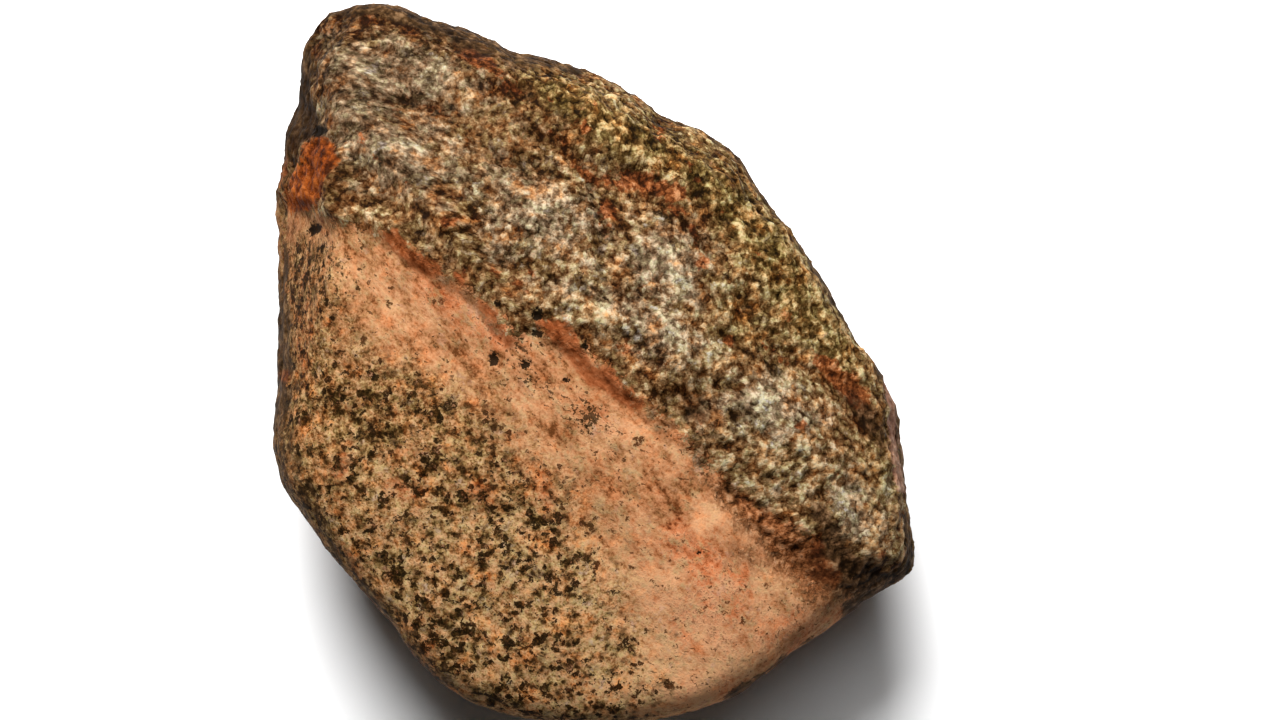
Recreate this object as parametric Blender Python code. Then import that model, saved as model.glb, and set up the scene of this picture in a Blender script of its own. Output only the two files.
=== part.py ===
"""Martian meteorite: one broken, weathered stone, lying on its broad underside.

Frame: +Z up, the stone's flat resting spot in the plane Z = 0, +X along its
longest direction, the origin in the middle of its plan at the foot.
The outline and the places of the facets are read off a straight-down view, in
view units (u to the right, v downwards); one view unit is 0.473 mm.
"""
import math

import bmesh
import bpy
import numpy as np
from mathutils import Vector, noise

# ---------------------------------------------------------------- dimensions
UNIT = 0.473e-3               # metres in one view unit
MID_U, MID_V = 565.0, 378.0   # view units: the point the form is built around
SHIFT = (-0.01808, -0.00509)  # metres: from there to the middle of the plan
TURN = math.radians(55.0)     # the long direction runs 55 deg below u
CROWN = 151.2                 # mm, height of the crown
CORE_Z = 0.078                # height of the point the surface is measured from
REACH = (0.187, 0.132, 0.076)  # half length, half width, half thickness
CELLS = 27                    # rows of cells along each side of the base grid

# Outline seen from straight above, clockwise from the top corner.
OUTLINE = [
    (345, 8), (375, 3), (402, 8), (430, 19), (462, 27), (490, 38), (514, 51),
    (545, 55), (590, 69), (620, 84), (640, 95), (662, 113), (700, 127),
    (722, 140), (740, 156), (757, 184), (775, 210), (792, 232), (808, 257),
    (826, 285), (842, 315), (856, 340), (874, 362), (888, 388), (899, 412),
    (903, 450), (907, 485), (911, 520), (915, 545), (914, 567), (904, 578),
    (870, 598), (845, 615), (820, 634), (790, 654), (762, 674), (735, 692),
    (700, 706), (660, 716), (610, 721), (560, 720), (520, 714), (485, 704),
    (455, 688), (430, 668), (410, 645), (395, 622), (370, 595), (350, 573),
    (325, 545), (305, 515), (287, 490), (277, 462), (273, 435), (276, 400),
    (277, 350), (277, 300), (276, 250), (274, 190), (281, 160), (285, 130),
    (296, 100), (299, 65), (306, 38), (322, 18)]

# Broad faces of the top: a point (u, v, height in mm), the compass direction
# the face leans to (degrees, 0 along u, 90 up the view) and its lean in degrees.
TOP_FACES = [
    (560, 335, 150.0, 50, 16.0),    # rough face, upper right
    (450, 225, 146.0, 108, 21.0),   # lobe at the upper left
    (500, 350, 150.0, 222, 10.5),   # speckled face, lower left
    (600, 450, 149.5, 268, 10.0),   # lower end
    (700, 440, 147.5, -22, 20.0),   # lower right end
    (650, 320, 149.0, 8, 21.0),     # right shoulder
    (330, 340, 138.0, 186, 24.0),   # left shoulder
    (560, 340, CROWN, 0, 0.0),      # crown
]

# Steep flank facets, cut harder than the rest: a point on the outline
# (u, v, height in mm), the direction they face and how far they lean back.
FLANKS = [
    (284, 150, 58.0, 168, 26.0),    # left flank, dark, rust patch below
    (899, 582, 78.0, -44, 24.0),    # dark face at the lower right corner
    (907, 440, 70.0, 6, 17.0),      # narrow face at the right
    (660, 106, 70.0, 62, 20.0),     # upper right edge
]

# Underside facets: direction, how far out from the resting spot's middle they
# meet the ground (mm), and how steeply they rise (degrees).
UNDER_FACES = [
    (4, 62.0, 35.0), (47, 50.0, 29.0), (93, 70.0, 33.0), (132, 80.0, 32.0),
    (176, 58.0, 36.0), (221, 50.0, 28.0), (262, 66.0, 38.0), (312, 82.0, 35.0)]
FOOT = (574, 378)             # middle of the resting spot in the view
FLAT_DEPTH = 0.0007           # how deep the resting spot is worn into the base

# Edge along which the rough crust ends in a low scarp above the smooth face.
SCARP = [
    (250, 190), (318, 212), (345, 226), (385, 238), (420, 262), (455, 284),
    (478, 298), (500, 322), (516, 338), (540, 330), (575, 348), (610, 374),
    (640, 404), (662, 424), (690, 446), (716, 474), (742, 506), (772, 530),
    (806, 560), (840, 588), (900, 640)]
SCARP_STEP = 4.2              # mm, height of the scarp
SCARP_HALF = 11.0             # view units, half the width of its slope

# Swells (+) and hollows (-): centre, radii along and across, direction of the
# long radius (degrees) and height in mm.
SWELLS = [
    (410, 78, 80, 34, -12, 3.6), (385, 158, 70, 38, -20, 3.0),
    (540, 215, 72, 46, -35, 3.6), (668, 262, 58, 38, -50, 3.2),
    (668, 338, 44, 38, -30, 2.6), (806, 428, 76, 46, -40, 4.6),
    (860, 515, 46, 44, -50, 3.2), (610, 118, 62, 24, -30, 2.2),
    (725, 180, 52, 26, -45, 1.8), (470, 118, 60, 22, -38, -3.2),
    (600, 178, 66, 26, -42, -3.0), (700, 402, 70, 24, 8, -4.2),
    (728, 470, 52, 24, -40, -3.4), (795, 560, 46, 26, -40, -3.0),
    (445, 190, 44, 18, -30, -2.0), (770, 330, 70, 28, -55, -2.2),
    (400, 300, 96, 34, -42, -2.6), (560, 420, 110, 36, -42, -1.6),
    (700, 590, 90, 42, -50, 1.6), (330, 300, 46, 40, -60, 1.4),
    (430, 450, 74, 50, -45, 1.6), (520, 590, 80, 54, -50, 1.6),
    (385, 560, 60, 40, -50, -1.6), (600, 520, 60, 34, -45, -1.4),
    (500, 700, 60, 26, 0, -1.5), (320, 420, 44, 60, 80, -1.2)]


def smooth_outline():
    """Closed curve through the outline points, as direction and radius."""
    pts = np.array([((u - MID_U) * UNIT, (MID_V - v) * UNIT) for u, v in OUTLINE])
    n = len(pts)
    t = np.linspace(0.0, 1.0, 24, endpoint=False)[:, None]
    run = []
    for i in range(n):
        a, b, c, d = (pts[(i + k) % n] for k in (-1, 0, 1, 2))
        run.append(0.5 * ((2 * b) + (c - a) * t + (2 * a - 5 * b + 4 * c - d) * t ** 2
                          + (3 * b - a - 3 * c + d) * t ** 3))
    run = np.concatenate(run)
    ang = np.arctan2(run[:, 1], run[:, 0])
    order = np.argsort(ang)
    ang, rad = ang[order], np.hypot(run[:, 0], run[:, 1])[order]
    return (np.concatenate([ang - 2 * np.pi, ang, ang + 2 * np.pi]),
            np.concatenate([rad, rad, rad]))


RIM_ANG, RIM_RAD = smooth_outline()


def place(u, v):
    return (u - MID_U) * UNIT, (MID_V - v) * UNIT


def blend_max(parts, soft):
    """Largest of several fields with its creases rounded over."""
    top = np.max(parts, axis=0)
    return top + soft * np.log(np.sum(np.exp((parts - top) / soft), axis=0))


def lean(point, x, y, z, compass, tilt):
    """Signed height over a face through a point, leaning to a direction."""
    px, py = place(point[0], point[1])
    a, t = math.radians(compass), math.radians(tilt)
    return ((x - px) * math.cos(a) * math.sin(t) + (y - py) * math.sin(a) * math.sin(t)
            + (z - point[2] * 1e-3) * math.cos(t))


def body_field(x, y, z):
    """Negative inside the stone, positive outside, zero on its smooth form."""
    ang = np.arctan2(y, x)
    rim = np.interp(ang, RIM_ANG, RIM_RAD)
    # height of the widest girth, which dips and climbs round the stone
    girth = 0.085 - 0.014 * np.sin(ang + 0.35) + 0.005 * np.sin(3 * ang + 1.1)
    # sharper shoulder along the lower right edge, rounder elsewhere
    upper = 0.100 + 0.12 * np.exp(-((np.mod(ang + 1.05 + np.pi, 2 * np.pi) - np.pi) / 0.5) ** 2)
    bulge = (z - girth) ** 2 / (2 * np.where(z > girth, upper, 0.115))
    wall = np.hypot(x, y) - rim + bulge
    top = [lean(f, x, y, z, f[3], f[4]) for f in TOP_FACES]
    fx, fy = place(*FOOT)
    under = []
    for compass, out, rise in UNDER_FACES:
        a, t = math.radians(compass), math.radians(rise)
        under.append(((x - fx) * math.cos(a) + (y - fy) * math.sin(a) - out * 1e-3)
                     * math.sin(t) - z * math.cos(t))
    under.append(-z - FLAT_DEPTH)
    top = blend_max(np.array(top), 0.0045)
    under = blend_max(np.array(under), 0.0042)
    soft = blend_max(np.array([wall, top, under]), 0.0062)
    cuts = [lean(f, x, y, z, f[3], 90.0 - f[4]) for f in FLANKS]
    return blend_max(np.array([soft] + cuts), 0.0026)


def surface(dirs):
    """Points where straight lines from the core leave the smooth form."""
    low, high = np.full(len(dirs), 0.02), np.full(len(dirs), 0.26)
    for _ in range(34):
        mid = 0.5 * (low + high)
        out = body_field(dirs[:, 0] * mid, dirs[:, 1] * mid, CORE_Z + dirs[:, 2] * mid) > 0
        high, low = np.where(out, mid, high), np.where(out, low, mid)
    mid = (0.5 * (low + high))[:, None]
    return dirs * mid + np.array([0.0, 0.0, CORE_Z])


def facing(p):
    """Outward direction of the smooth form at points on it."""
    e = 0.0012
    g = np.stack([body_field(*(p + np.eye(3)[k] * e).T) - body_field(*(p - np.eye(3)[k] * e).T)
                  for k in range(3)], axis=1)
    return g / np.linalg.norm(g, axis=1)[:, None]


def ramp(a, b, t):
    s = np.clip((t - a) / (b - a), 0.0, 1.0)
    return s * s * (3 - 2 * s)


def scarp_side(u, v):
    """Distance to the scarp line in view units, positive on the rough side."""
    best, side = np.full(u.shape, 1e9), np.zeros(u.shape)
    for (ua, va), (ub, vb) in zip(SCARP[:-1], SCARP[1:]):
        du, dv = ub - ua, vb - va
        t = np.clip(((u - ua) * du + (v - va) * dv) / (du * du + dv * dv), 0, 1)
        qu, qv = u - (ua + t * du), v - (va + t * dv)
        dist = np.hypot(qu, qv)
        closer = dist < best
        best = np.where(closer, dist, best)
        side = np.where(closer, np.sign(du * -qv + dv * qu), side)
    return best * side


def wander(p, size, seed):
    """Soft random field in about -1..1, with bumps of the given size in metres."""
    shift = Vector((seed * 7.31, seed * 3.77, seed * 5.19))
    return np.array([noise.noise(Vector(q) + shift) for q in (p / size).tolist()])


def relief(p, n):
    """Height in metres of the stone's modelled relief over its smooth form."""
    u, v = p[:, 0] / UNIT + MID_U, MID_V - p[:, 1] / UNIT
    up = ramp(0.10, 0.55, n[:, 2])
    side = scarp_side(u, v) + 5.0 * wander(p, 0.011, 3)
    rough = ramp(-SCARP_HALF, SCARP_HALF, side)
    inner = 1.0 - np.hypot(p[:, 0], p[:, 1]) / np.interp(
        np.arctan2(p[:, 1], p[:, 0]), RIM_ANG, RIM_RAD)
    h = SCARP_STEP * rough * ramp(170.0, 20.0, side) * ramp(0.02, 0.16, inner) * up
    h += 1.5 * rough * up
    for cu, cv, along, across, compass, height in SWELLS:
        a = math.radians(compass)
        s = ((u - cu) * math.cos(a) - (v - cv) * math.sin(a)) / along
        t = ((u - cu) * math.sin(a) + (v - cv) * math.cos(a)) / across
        h += height * np.exp(-1.4 * (s * s + t * t)) * up
    coarse = 0.45 + 0.55 * np.maximum(rough * up, 1.0 - up)
    h += coarse * (2.1 * wander(p, 0.046, 11) + 1.1 * wander(p, 0.022, 12))
    return h * 1e-3


def raised(dirs):
    p = surface(dirs)
    n = facing(p)
    return p + n * relief(p, n)[:, None]


def fit_outline():
    """Stretch, by direction, that brings the raised form out to the outline."""
    ang, tip = np.meshgrid(np.linspace(-np.pi, np.pi, 480, endpoint=False),
                           np.radians(np.linspace(-26, 30, 29)))
    dirs = np.stack([np.cos(ang) * np.cos(tip), np.sin(ang) * np.cos(tip), np.sin(tip)],
                    axis=-1)
    p = raised(dirs.reshape(-1, 3))
    far = np.hypot(p[:, 0], p[:, 1]).reshape(ang.shape).max(axis=0)
    grow = np.interp(ang[0], RIM_ANG, RIM_RAD) / far
    return (np.concatenate([ang[0] - 2 * np.pi, ang[0], ang[0] + 2 * np.pi]),
            np.concatenate([grow, grow, grow]))


def stone_points(dirs):
    p = raised(dirs)
    grow = np.interp(np.arctan2(p[:, 1], p[:, 0]), *fit_outline())
    return np.stack([p[:, 0] * grow, p[:, 1] * grow, p[:, 2]], axis=1)


def clear_scene():
    for obj in list(bpy.data.objects):
        bpy.data.objects.remove(obj, do_unlink=True)


def stone_material():
    mat = bpy.data.materials.new("weathered_stone")
    mat.use_nodes = True
    shader = mat.node_tree.nodes["Principled BSDF"]
    shader.inputs["Base Color"].default_value = (0.36, 0.22, 0.12, 1.0)
    shader.inputs["Roughness"].default_value = 0.72
    shader.inputs["Metallic"].default_value = 0.0
    return mat


def make_stone():
    bm = bmesh.new()
    bmesh.ops.create_cube(bm, size=2.0)
    bmesh.ops.subdivide_edges(bm, edges=bm.edges[:], cuts=CELLS - 1, use_grid_fill=True)
    bm.verts.ensure_lookup_table()
    cube = np.array([v.co[:] for v in bm.verts])
    even = np.tan(cube * math.pi / 4 * 0.96)          # evens out the cells
    ball = even / np.linalg.norm(even, axis=1)[:, None]
    # the long direction of the grid lies along the stone's own length
    c, s = math.cos(-TURN), math.sin(-TURN)
    x, y, z = (ball * np.array(REACH)).T
    dirs = np.stack([c * x - s * y, s * x + c * y, z], axis=1)
    dirs /= np.linalg.norm(dirs, axis=1)[:, None]
    p = stone_points(dirs)
    # turn the view's frame so that +X runs along the stone
    c, s = math.cos(TURN), math.sin(TURN)
    p = np.stack([c * p[:, 0] - s * p[:, 1] - SHIFT[0],
                  s * p[:, 0] + c * p[:, 1] - SHIFT[1], p[:, 2]], axis=1)
    for vert, q in zip(bm.verts, p.tolist()):
        vert.co = q
    bmesh.ops.triangulate(bm, faces=bm.faces[:], quad_method="SHORT_EDGE")
    # the small flat spot that the stone rests on
    cut = bmesh.ops.bisect_plane(bm, geom=bm.verts[:] + bm.edges[:] + bm.faces[:],
                                 dist=2e-5, plane_co=(0, 0, 0), plane_no=(0, 0, -1),
                                 clear_outer=True)
    rim = [g for g in cut["geom_cut"] if isinstance(g, bmesh.types.BMEdge)]
    bmesh.ops.edgeloop_fill(bm, edges=rim)
    bmesh.ops.remove_doubles(bm, verts=bm.verts[:], dist=0.0004)
    for vert in bm.verts:
        if vert.co.z < 5e-5:
            vert.co.z = 0.0
    bmesh.ops.triangulate(bm, faces=bm.faces[:])
    bmesh.ops.recalc_face_normals(bm, faces=bm.faces[:])
    mesh = bpy.data.meshes.new("stone")
    bm.to_mesh(mesh)
    bm.free()
    obj = bpy.data.objects.new("stone", mesh)
    bpy.context.scene.collection.objects.link(obj)
    mesh.materials.append(stone_material())
    mesh.shade_smooth()
    return obj


clear_scene()
make_stone()
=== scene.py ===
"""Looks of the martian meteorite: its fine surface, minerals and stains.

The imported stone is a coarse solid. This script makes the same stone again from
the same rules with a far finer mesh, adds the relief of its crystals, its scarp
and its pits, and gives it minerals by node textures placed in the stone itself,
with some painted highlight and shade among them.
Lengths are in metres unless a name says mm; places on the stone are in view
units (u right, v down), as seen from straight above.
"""
import math

import bpy
import numpy as np
from mathutils import Matrix, Vector, noise


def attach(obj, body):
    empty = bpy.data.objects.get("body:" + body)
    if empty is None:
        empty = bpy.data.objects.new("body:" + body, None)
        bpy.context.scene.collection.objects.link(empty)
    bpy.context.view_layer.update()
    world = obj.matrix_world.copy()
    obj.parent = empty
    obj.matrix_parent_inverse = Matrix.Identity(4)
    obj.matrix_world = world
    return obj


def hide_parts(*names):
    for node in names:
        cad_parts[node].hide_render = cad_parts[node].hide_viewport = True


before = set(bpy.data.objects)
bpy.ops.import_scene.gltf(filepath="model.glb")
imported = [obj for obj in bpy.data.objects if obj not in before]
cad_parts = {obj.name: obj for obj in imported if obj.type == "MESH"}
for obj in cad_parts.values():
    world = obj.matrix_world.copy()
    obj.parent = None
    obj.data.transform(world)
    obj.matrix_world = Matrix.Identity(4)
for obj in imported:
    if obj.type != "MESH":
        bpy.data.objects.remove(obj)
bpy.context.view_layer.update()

# ------------------------------------------------------------------ the form
UNIT = 0.473e-3
MID_U, MID_V = 565.0, 378.0
SHIFT = (-0.01808, -0.00509)
TURN = math.radians(55.0)
CROWN = 151.2
CORE_Z = 0.078
REACH = (0.187, 0.132, 0.076)
CELLS = 127

EYE_HEIGHT = 2.70             # camera over the ground
EYE_U, EYE_V = 640.0, 360.0   # the camera stands over this point of the view
PLANE_Z = 0.090               # height at which one view unit is UNIT

OUTLINE = [
    (345, 8), (375, 3), (402, 8), (430, 19), (462, 27), (490, 38), (514, 51),
    (545, 55), (590, 69), (620, 84), (640, 95), (662, 113), (700, 127),
    (722, 140), (740, 156), (757, 184), (775, 210), (792, 232), (808, 257),
    (826, 285), (842, 315), (856, 340), (874, 362), (888, 388), (899, 412),
    (903, 450), (907, 485), (911, 520), (915, 545), (914, 567), (904, 578),
    (870, 598), (845, 615), (820, 634), (790, 654), (762, 674), (735, 692),
    (700, 706), (660, 716), (610, 721), (560, 720), (520, 714), (485, 704),
    (455, 688), (430, 668), (410, 645), (395, 622), (370, 595), (350, 573),
    (325, 545), (305, 515), (287, 490), (277, 462), (273, 435), (276, 400),
    (277, 350), (277, 300), (276, 250), (274, 190), (281, 160), (285, 130),
    (296, 100), (299, 65), (306, 38), (322, 18)]
TOP_FACES = [
    (560, 335, 150.0, 50, 16.0), (450, 225, 146.0, 108, 21.0),
    (500, 350, 150.0, 222, 10.5), (600, 450, 149.5, 268, 10.0),
    (700, 440, 147.5, -22, 20.0), (650, 320, 149.0, 8, 21.0),
    (330, 340, 138.0, 186, 24.0), (560, 340, CROWN, 0, 0.0)]
FLANKS = [
    (284, 150, 58.0, 168, 26.0), (899, 582, 78.0, -44, 24.0),
    (907, 440, 70.0, 6, 17.0), (660, 106, 70.0, 62, 20.0)]
UNDER_FACES = [
    (4, 62.0, 35.0), (47, 50.0, 29.0), (93, 70.0, 33.0), (132, 80.0, 32.0),
    (176, 58.0, 36.0), (221, 50.0, 28.0), (262, 66.0, 38.0), (312, 82.0, 35.0)]
FOOT = (574, 378)
FLAT_DEPTH = 0.0007
SCARP = [
    (250, 190), (318, 212), (345, 226), (385, 238), (420, 262), (455, 284),
    (478, 298), (500, 322), (516, 338), (540, 330), (575, 348), (610, 374),
    (640, 404), (662, 424), (690, 446), (716, 474), (742, 506), (772, 530),
    (806, 560), (840, 588), (900, 640)]
SCARP_STEP = 4.2
SWELLS = [
    (410, 78, 80, 34, -12, 3.6), (385, 158, 70, 38, -20, 3.0),
    (540, 215, 72, 46, -35, 3.6), (668, 262, 58, 38, -50, 3.2),
    (668, 338, 44, 38, -30, 2.6), (806, 428, 76, 46, -40, 4.6),
    (860, 515, 46, 44, -50, 3.2), (610, 118, 62, 24, -30, 2.2),
    (725, 180, 52, 26, -45, 1.8), (470, 118, 60, 22, -38, -3.2),
    (600, 178, 66, 26, -42, -3.0), (700, 402, 70, 24, 8, -4.2),
    (728, 470, 52, 24, -40, -3.4), (795, 560, 46, 26, -40, -3.0),
    (445, 190, 44, 18, -30, -2.0), (770, 330, 70, 28, -55, -2.2),
    (400, 300, 96, 34, -42, -2.6), (560, 420, 110, 36, -42, -1.6),
    (700, 590, 90, 42, -50, 1.6), (330, 300, 46, 40, -60, 1.4),
    (430, 450, 74, 50, -45, 1.6), (520, 590, 80, 54, -50, 1.6),
    (385, 560, 60, 40, -50, -1.6), (600, 520, 60, 34, -45, -1.4),
    (500, 700, 60, 26, 0, -1.5), (320, 420, 44, 60, 80, -1.2)]


def smooth_outline():
    pts = np.array([((u - MID_U) * UNIT, (MID_V - v) * UNIT) for u, v in OUTLINE])
    n = len(pts)
    t = np.linspace(0.0, 1.0, 24, endpoint=False)[:, None]
    run = []
    for i in range(n):
        a, b, c, d = (pts[(i + k) % n] for k in (-1, 0, 1, 2))
        run.append(0.5 * ((2 * b) + (c - a) * t + (2 * a - 5 * b + 4 * c - d) * t ** 2
                          + (3 * b - a - 3 * c + d) * t ** 3))
    run = np.concatenate(run)
    ang = np.arctan2(run[:, 1], run[:, 0])
    order = np.argsort(ang)
    ang, rad = ang[order], np.hypot(run[:, 0], run[:, 1])[order]
    return (np.concatenate([ang - 2 * np.pi, ang, ang + 2 * np.pi]),
            np.concatenate([rad, rad, rad]))


RIM_ANG, RIM_RAD = smooth_outline()


def place(u, v):
    return (u - MID_U) * UNIT, (MID_V - v) * UNIT


def blend_max(parts, soft):
    top = np.max(parts, axis=0)
    return top + soft * np.log(np.sum(np.exp((parts - top) / soft), axis=0))


def lean(point, x, y, z, compass, tilt):
    px, py = place(point[0], point[1])
    a, t = math.radians(compass), math.radians(tilt)
    return ((x - px) * math.cos(a) * math.sin(t) + (y - py) * math.sin(a) * math.sin(t)
            + (z - point[2] * 1e-3) * math.cos(t))


def body_field(x, y, z):
    ang = np.arctan2(y, x)
    rim = np.interp(ang, RIM_ANG, RIM_RAD)
    girth = 0.085 - 0.014 * np.sin(ang + 0.35) + 0.005 * np.sin(3 * ang + 1.1)
    upper = 0.100 + 0.12 * np.exp(-((np.mod(ang + 1.05 + np.pi, 2 * np.pi) - np.pi) / 0.5) ** 2)
    bulge = (z - girth) ** 2 / (2 * np.where(z > girth, upper, 0.115))
    wall = np.hypot(x, y) - rim + bulge
    top = [lean(f, x, y, z, f[3], f[4]) for f in TOP_FACES]
    fx, fy = place(*FOOT)
    under = []
    for compass, out, rise in UNDER_FACES:
        a, t = math.radians(compass), math.radians(rise)
        under.append(((x - fx) * math.cos(a) + (y - fy) * math.sin(a) - out * 1e-3)
                     * math.sin(t) - z * math.cos(t))
    under.append(-z - FLAT_DEPTH)
    top = blend_max(np.array(top), 0.0045)
    under = blend_max(np.array(under), 0.0042)
    soft = blend_max(np.array([wall, top, under]), 0.0062)
    cuts = [lean(f, x, y, z, f[3], 90.0 - f[4]) for f in FLANKS]
    return blend_max(np.array([soft] + cuts), 0.0026)


def surface(dirs):
    low, high = np.full(len(dirs), 0.02), np.full(len(dirs), 0.26)
    for _ in range(30):
        mid = 0.5 * (low + high)
        out = body_field(dirs[:, 0] * mid, dirs[:, 1] * mid, CORE_Z + dirs[:, 2] * mid) > 0
        high, low = np.where(out, mid, high), np.where(out, low, mid)
    mid = (0.5 * (low + high))[:, None]
    return dirs * mid + np.array([0.0, 0.0, CORE_Z])


def facing(p):
    e = 0.0012
    g = np.stack([body_field(*(p + np.eye(3)[k] * e).T) - body_field(*(p - np.eye(3)[k] * e).T)
                  for k in range(3)], axis=1)
    return g / np.linalg.norm(g, axis=1)[:, None]


def ramp(a, b, t):
    s = np.clip((t - a) / (b - a), 0.0, 1.0)
    return s * s * (3 - 2 * s)


def line_side(line, u, v):
    """Distance to a broken line in view units, positive on its left."""
    best, side = np.full(u.shape, 1e9), np.zeros(u.shape)
    for (ua, va), (ub, vb) in zip(line[:-1], line[1:]):
        du, dv = ub - ua, vb - va
        t = np.clip(((u - ua) * du + (v - va) * dv) / (du * du + dv * dv), 0, 1)
        qu, qv = u - (ua + t * du), v - (va + t * dv)
        dist = np.hypot(qu, qv)
        closer = dist < best
        best = np.where(closer, dist, best)
        side = np.where(closer, np.sign(du * -qv + dv * qu), side)
    return best * side


def patch_depth(corners, u, v):
    """Distance in view units inside a closed patch, negative outside it."""
    best, inside = np.full(u.shape, 1e9), np.zeros(u.shape, bool)
    n = len(corners)
    for i in range(n):
        (ua, va), (ub, vb) = corners[i], corners[(i + 1) % n]
        du, dv = ub - ua, vb - va
        t = np.clip(((u - ua) * du + (v - va) * dv) / (du * du + dv * dv), 0, 1)
        best = np.minimum(best, np.hypot(u - ua - t * du, v - va - t * dv))
        cross = (va > v) != (vb > v)
        inside ^= cross & (u < ua + (v - va) * du / (dv if dv else 1e-9))
    return np.where(inside, best, -best)


def wander(p, size, seed):
    shift = Vector((seed * 7.31, seed * 3.77, seed * 5.19))
    return np.array([noise.noise(Vector(q) + shift) for q in (p / size).tolist()])


def bump_at(u, v, spots):
    """Sum of soft spots: centre, radii, direction of the long one, weight."""
    h = np.zeros(u.shape)
    for cu, cv, along, across, compass, weight in spots:
        a = math.radians(compass)
        s = ((u - cu) * math.cos(a) - (v - cv) * math.sin(a)) / along
        t = ((u - cu) * math.sin(a) + (v - cv) * math.cos(a)) / across
        h += weight * np.exp(-1.4 * (s * s + t * t))
    return h


def relief(p, n):
    u, v = p[:, 0] / UNIT + MID_U, MID_V - p[:, 1] / UNIT
    up = ramp(0.10, 0.55, n[:, 2])
    side = line_side(SCARP, u, v) + 5.0 * wander(p, 0.011, 3) + 3.0 * wander(p, 0.0045, 4)
    rough = ramp(-12.0, 8.0, side)
    inner = 1.0 - np.hypot(p[:, 0], p[:, 1]) / np.interp(
        np.arctan2(p[:, 1], p[:, 0]), RIM_ANG, RIM_RAD)
    h = 0.8 * SCARP_STEP * rough * ramp(170.0, 20.0, side) * ramp(0.02, 0.16, inner) * up
    h += 1.5 * rough * up
    h += bump_at(u, v, SWELLS) * up
    coarse = 0.45 + 0.55 * np.maximum(rough * up, 1.0 - up)
    h += coarse * (2.1 * wander(p, 0.046, 11) + 1.1 * wander(p, 0.022, 12))
    return h * 1e-3


def raised(dirs):
    p = surface(dirs)
    n = facing(p)
    return p, n, p + n * relief(p, n)[:, None]


def fit_outline():
    ang, tip = np.meshgrid(np.linspace(-np.pi, np.pi, 480, endpoint=False),
                           np.radians(np.linspace(-26, 30, 29)))
    dirs = np.stack([np.cos(ang) * np.cos(tip), np.sin(ang) * np.cos(tip), np.sin(tip)],
                    axis=-1)
    p = raised(dirs.reshape(-1, 3))[2]
    far = np.hypot(p[:, 0], p[:, 1]).reshape(ang.shape).max(axis=0)
    grow = np.interp(ang[0], RIM_ANG, RIM_RAD) / far
    return (np.concatenate([ang[0] - 2 * np.pi, ang[0], ang[0] + 2 * np.pi]),
            np.concatenate([grow, grow, grow]))


def cube_grid(cells):
    """Points and quads of a cube's skin, side after side."""
    keys = []
    i, j = np.meshgrid(np.arange(cells + 1), np.arange(cells + 1), indexing="ij")
    for axis in range(3):
        for end in (0, cells):
            lat = np.zeros((cells + 1, cells + 1, 3), int)
            lat[..., axis] = end
            lat[..., (axis + 1) % 3] = i if end else j
            lat[..., (axis + 2) % 3] = j if end else i
            keys.append(lat.reshape(-1, 3))
    keys = np.concatenate(keys)
    uniq, back = np.unique(keys, axis=0, return_inverse=True)
    back = back.reshape(6, cells + 1, cells + 1)
    quads = np.stack([back[:, :-1, :-1], back[:, 1:, :-1], back[:, 1:, 1:],
                      back[:, :-1, 1:]], axis=-1).reshape(-1, 4)
    return uniq / cells * 2.0 - 1.0, quads


cube, quads = cube_grid(CELLS)
even = np.tan(cube * math.pi / 4 * 0.96)
ball = even / np.linalg.norm(even, axis=1)[:, None]
# more of the grid on the broad top, which is the face that is seen
polar = np.arccos(np.clip(ball[:, 2], -1, 1))
polar2 = polar - 0.20 * np.sin(polar)
squash = np.sin(polar2) / np.maximum(np.sin(polar), 1e-9)
ball = np.stack([ball[:, 0] * squash, ball[:, 1] * squash, np.cos(polar2)], axis=1)
c, s = math.cos(-TURN), math.sin(-TURN)
x, y, z = (ball * np.array(REACH)).T
dirs = np.stack([c * x - s * y, s * x + c * y, z], axis=1)
dirs /= np.linalg.norm(dirs, axis=1)[:, None]
smooth, normal, pos = raised(dirs)
grow = np.interp(np.arctan2(pos[:, 1], pos[:, 0]), *fit_outline())
pos[:, 0] *= grow
pos[:, 1] *= grow

# place of each point in the view, as the camera over the stone sees it
near = (EYE_HEIGHT - PLANE_Z) / (EYE_HEIGHT - pos[:, 2])
U = EYE_U + (pos[:, 0] / UNIT + MID_U - EYE_U) * near
V = EYE_V + (MID_V - pos[:, 1] / UNIT - EYE_V) * near
skin = smooth * 1000.0            # mm, where the minerals' patterns are placed

# ------------------------------------------------------------- mineral zones, and where light and shade are painted
RUST = [   # bare rust-red patches under the scarp, and on the left flank
    [(379, 228), (400, 229), (408, 244), (437, 262), (442, 276), (425, 278),
     (405, 262), (385, 244)],
    [(452, 272), (464, 273), (464, 285), (453, 285)],
    [(476, 298), (489, 301), (500, 316), (499, 326), (484, 316)],
    [(505, 333), (512, 336), (511, 349), (505, 346)],
    [(535, 322), (556, 318), (569, 322), (576, 336), (587, 354), (591, 366),
     (613, 367), (626, 386), (645, 402), (636, 415), (608, 396), (587, 386),
     (574, 367), (560, 349), (546, 336)]]
FLANK_RUST = [
    [(304, 141), (320, 137), (334, 145), (340, 160), (330, 171), (322, 184),
     (317, 198), (307, 208), (295, 214), (286, 208), (285, 188), (293, 173), (301, 160)]]
# pits: dents in the surface, painted near black as painted shade (centre u, v and radii)
PITS = [(315, 228, 6.0, 6.5), (494, 359, 5.5, 7.5), (537, 314, 6.0, 7.0),
        (537, 333, 6.5, 4.8), (526, 364, 7.0, 5.0), (310, 232, 4.0, 5.0),
        (585, 345, 4.0, 4.5), (566, 380, 4.0, 3.0), (498, 303, 4.0, 4.0),
        (699, 553, 2.6, 2.2), (318, 131, 8.0, 6.0)]
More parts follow.
